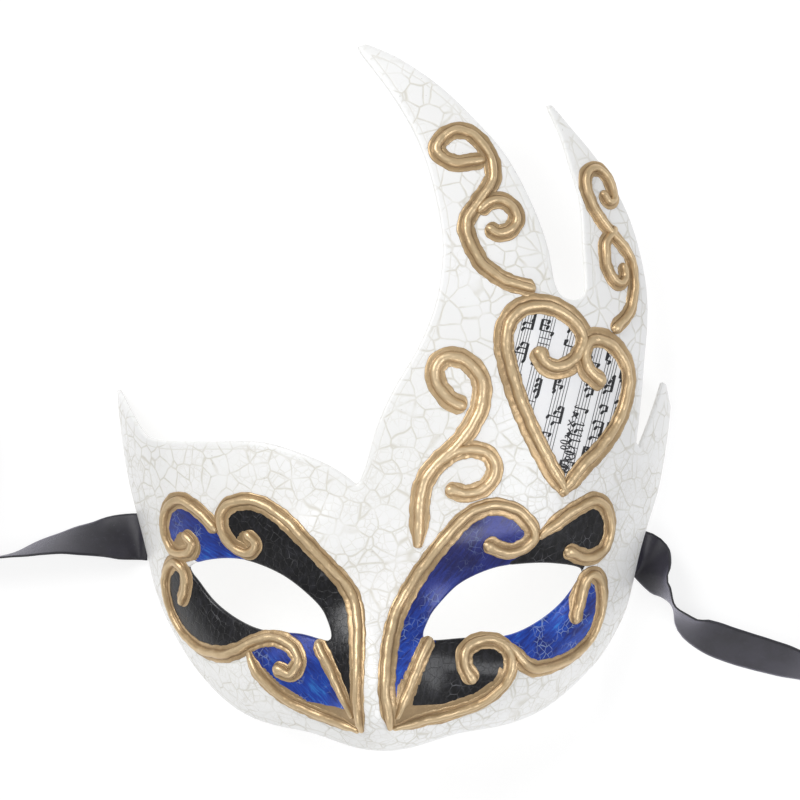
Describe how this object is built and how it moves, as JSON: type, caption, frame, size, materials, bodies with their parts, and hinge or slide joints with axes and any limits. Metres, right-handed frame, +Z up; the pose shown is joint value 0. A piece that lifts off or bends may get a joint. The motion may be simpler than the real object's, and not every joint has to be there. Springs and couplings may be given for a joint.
{
  "type": "masquerade half mask",
  "caption": "Half mask with swept horns over one eye, crackled white shell, gold relief scrolls, lacquered eye surrounds, a heart of sheet music and ribbon ties.",
  "frame": {"origin": "on the table under the middle of the mask without its ties, which lies on its back with the face up", "axes": "+X across the face towards the side of the horns, +Y from the nose towards the horn tips, +Z up out of the face"},
  "size_m": [0.425, 0.2186, 0.0637],
  "materials": {
    "shell_white": "satin white paint with fine warm grey crackle",
    "relief_gold": "aged metallic gold paint over raised relief",
    "lacquer_blue": "pearl ultramarine lacquer, glossy, faint cracks",
    "lacquer_black": "glossy black lacquer",
    "music_paper": "white paper printed with a made-up stave pattern",
    "ribbon_satin": "black satin ribbon"
  },
  "bodies": {
    "root": {"mask_shell": "shell_white", "horn_scroll": "relief_gold", "horn_curl": "relief_gold", "side_scroll": "relief_gold", "side_curl": "relief_gold", "brow_scroll": "relief_gold", "brow_curl": "relief_gold", "heart_left": "relief_gold", "heart_right": "relief_gold", "brow_out_l": "relief_gold", "brow_in_l": "relief_gold", "corner_l": "relief_gold", "cheek_out_l": "relief_gold", "cheek_in_l": "relief_gold", "brow_in_r": "relief_gold", "brow_out_r": "relief_gold", "corner_r": "relief_gold", "cheek_out_r": "relief_gold", "cheek_in_r": "relief_gold", "blue_top_l": "lacquer_blue", "black_top_l": "lacquer_black", "black_low_l": "lacquer_black", "blue_low_l": "lacquer_blue", "blue_top_r": "lacquer_blue", "black_top_r": "lacquer_black", "blue_low_r": "lacquer_blue", "black_low_r": "lacquer_black", "paper": "music_paper", "glued_end_l": "ribbon_satin", "glued_end_r": "ribbon_satin", "tie_l": "ribbon_satin", "tie_r": "ribbon_satin", "wound_l": "ribbon_satin", "wound_r": "ribbon_satin"}
  },
  "joints": []
}
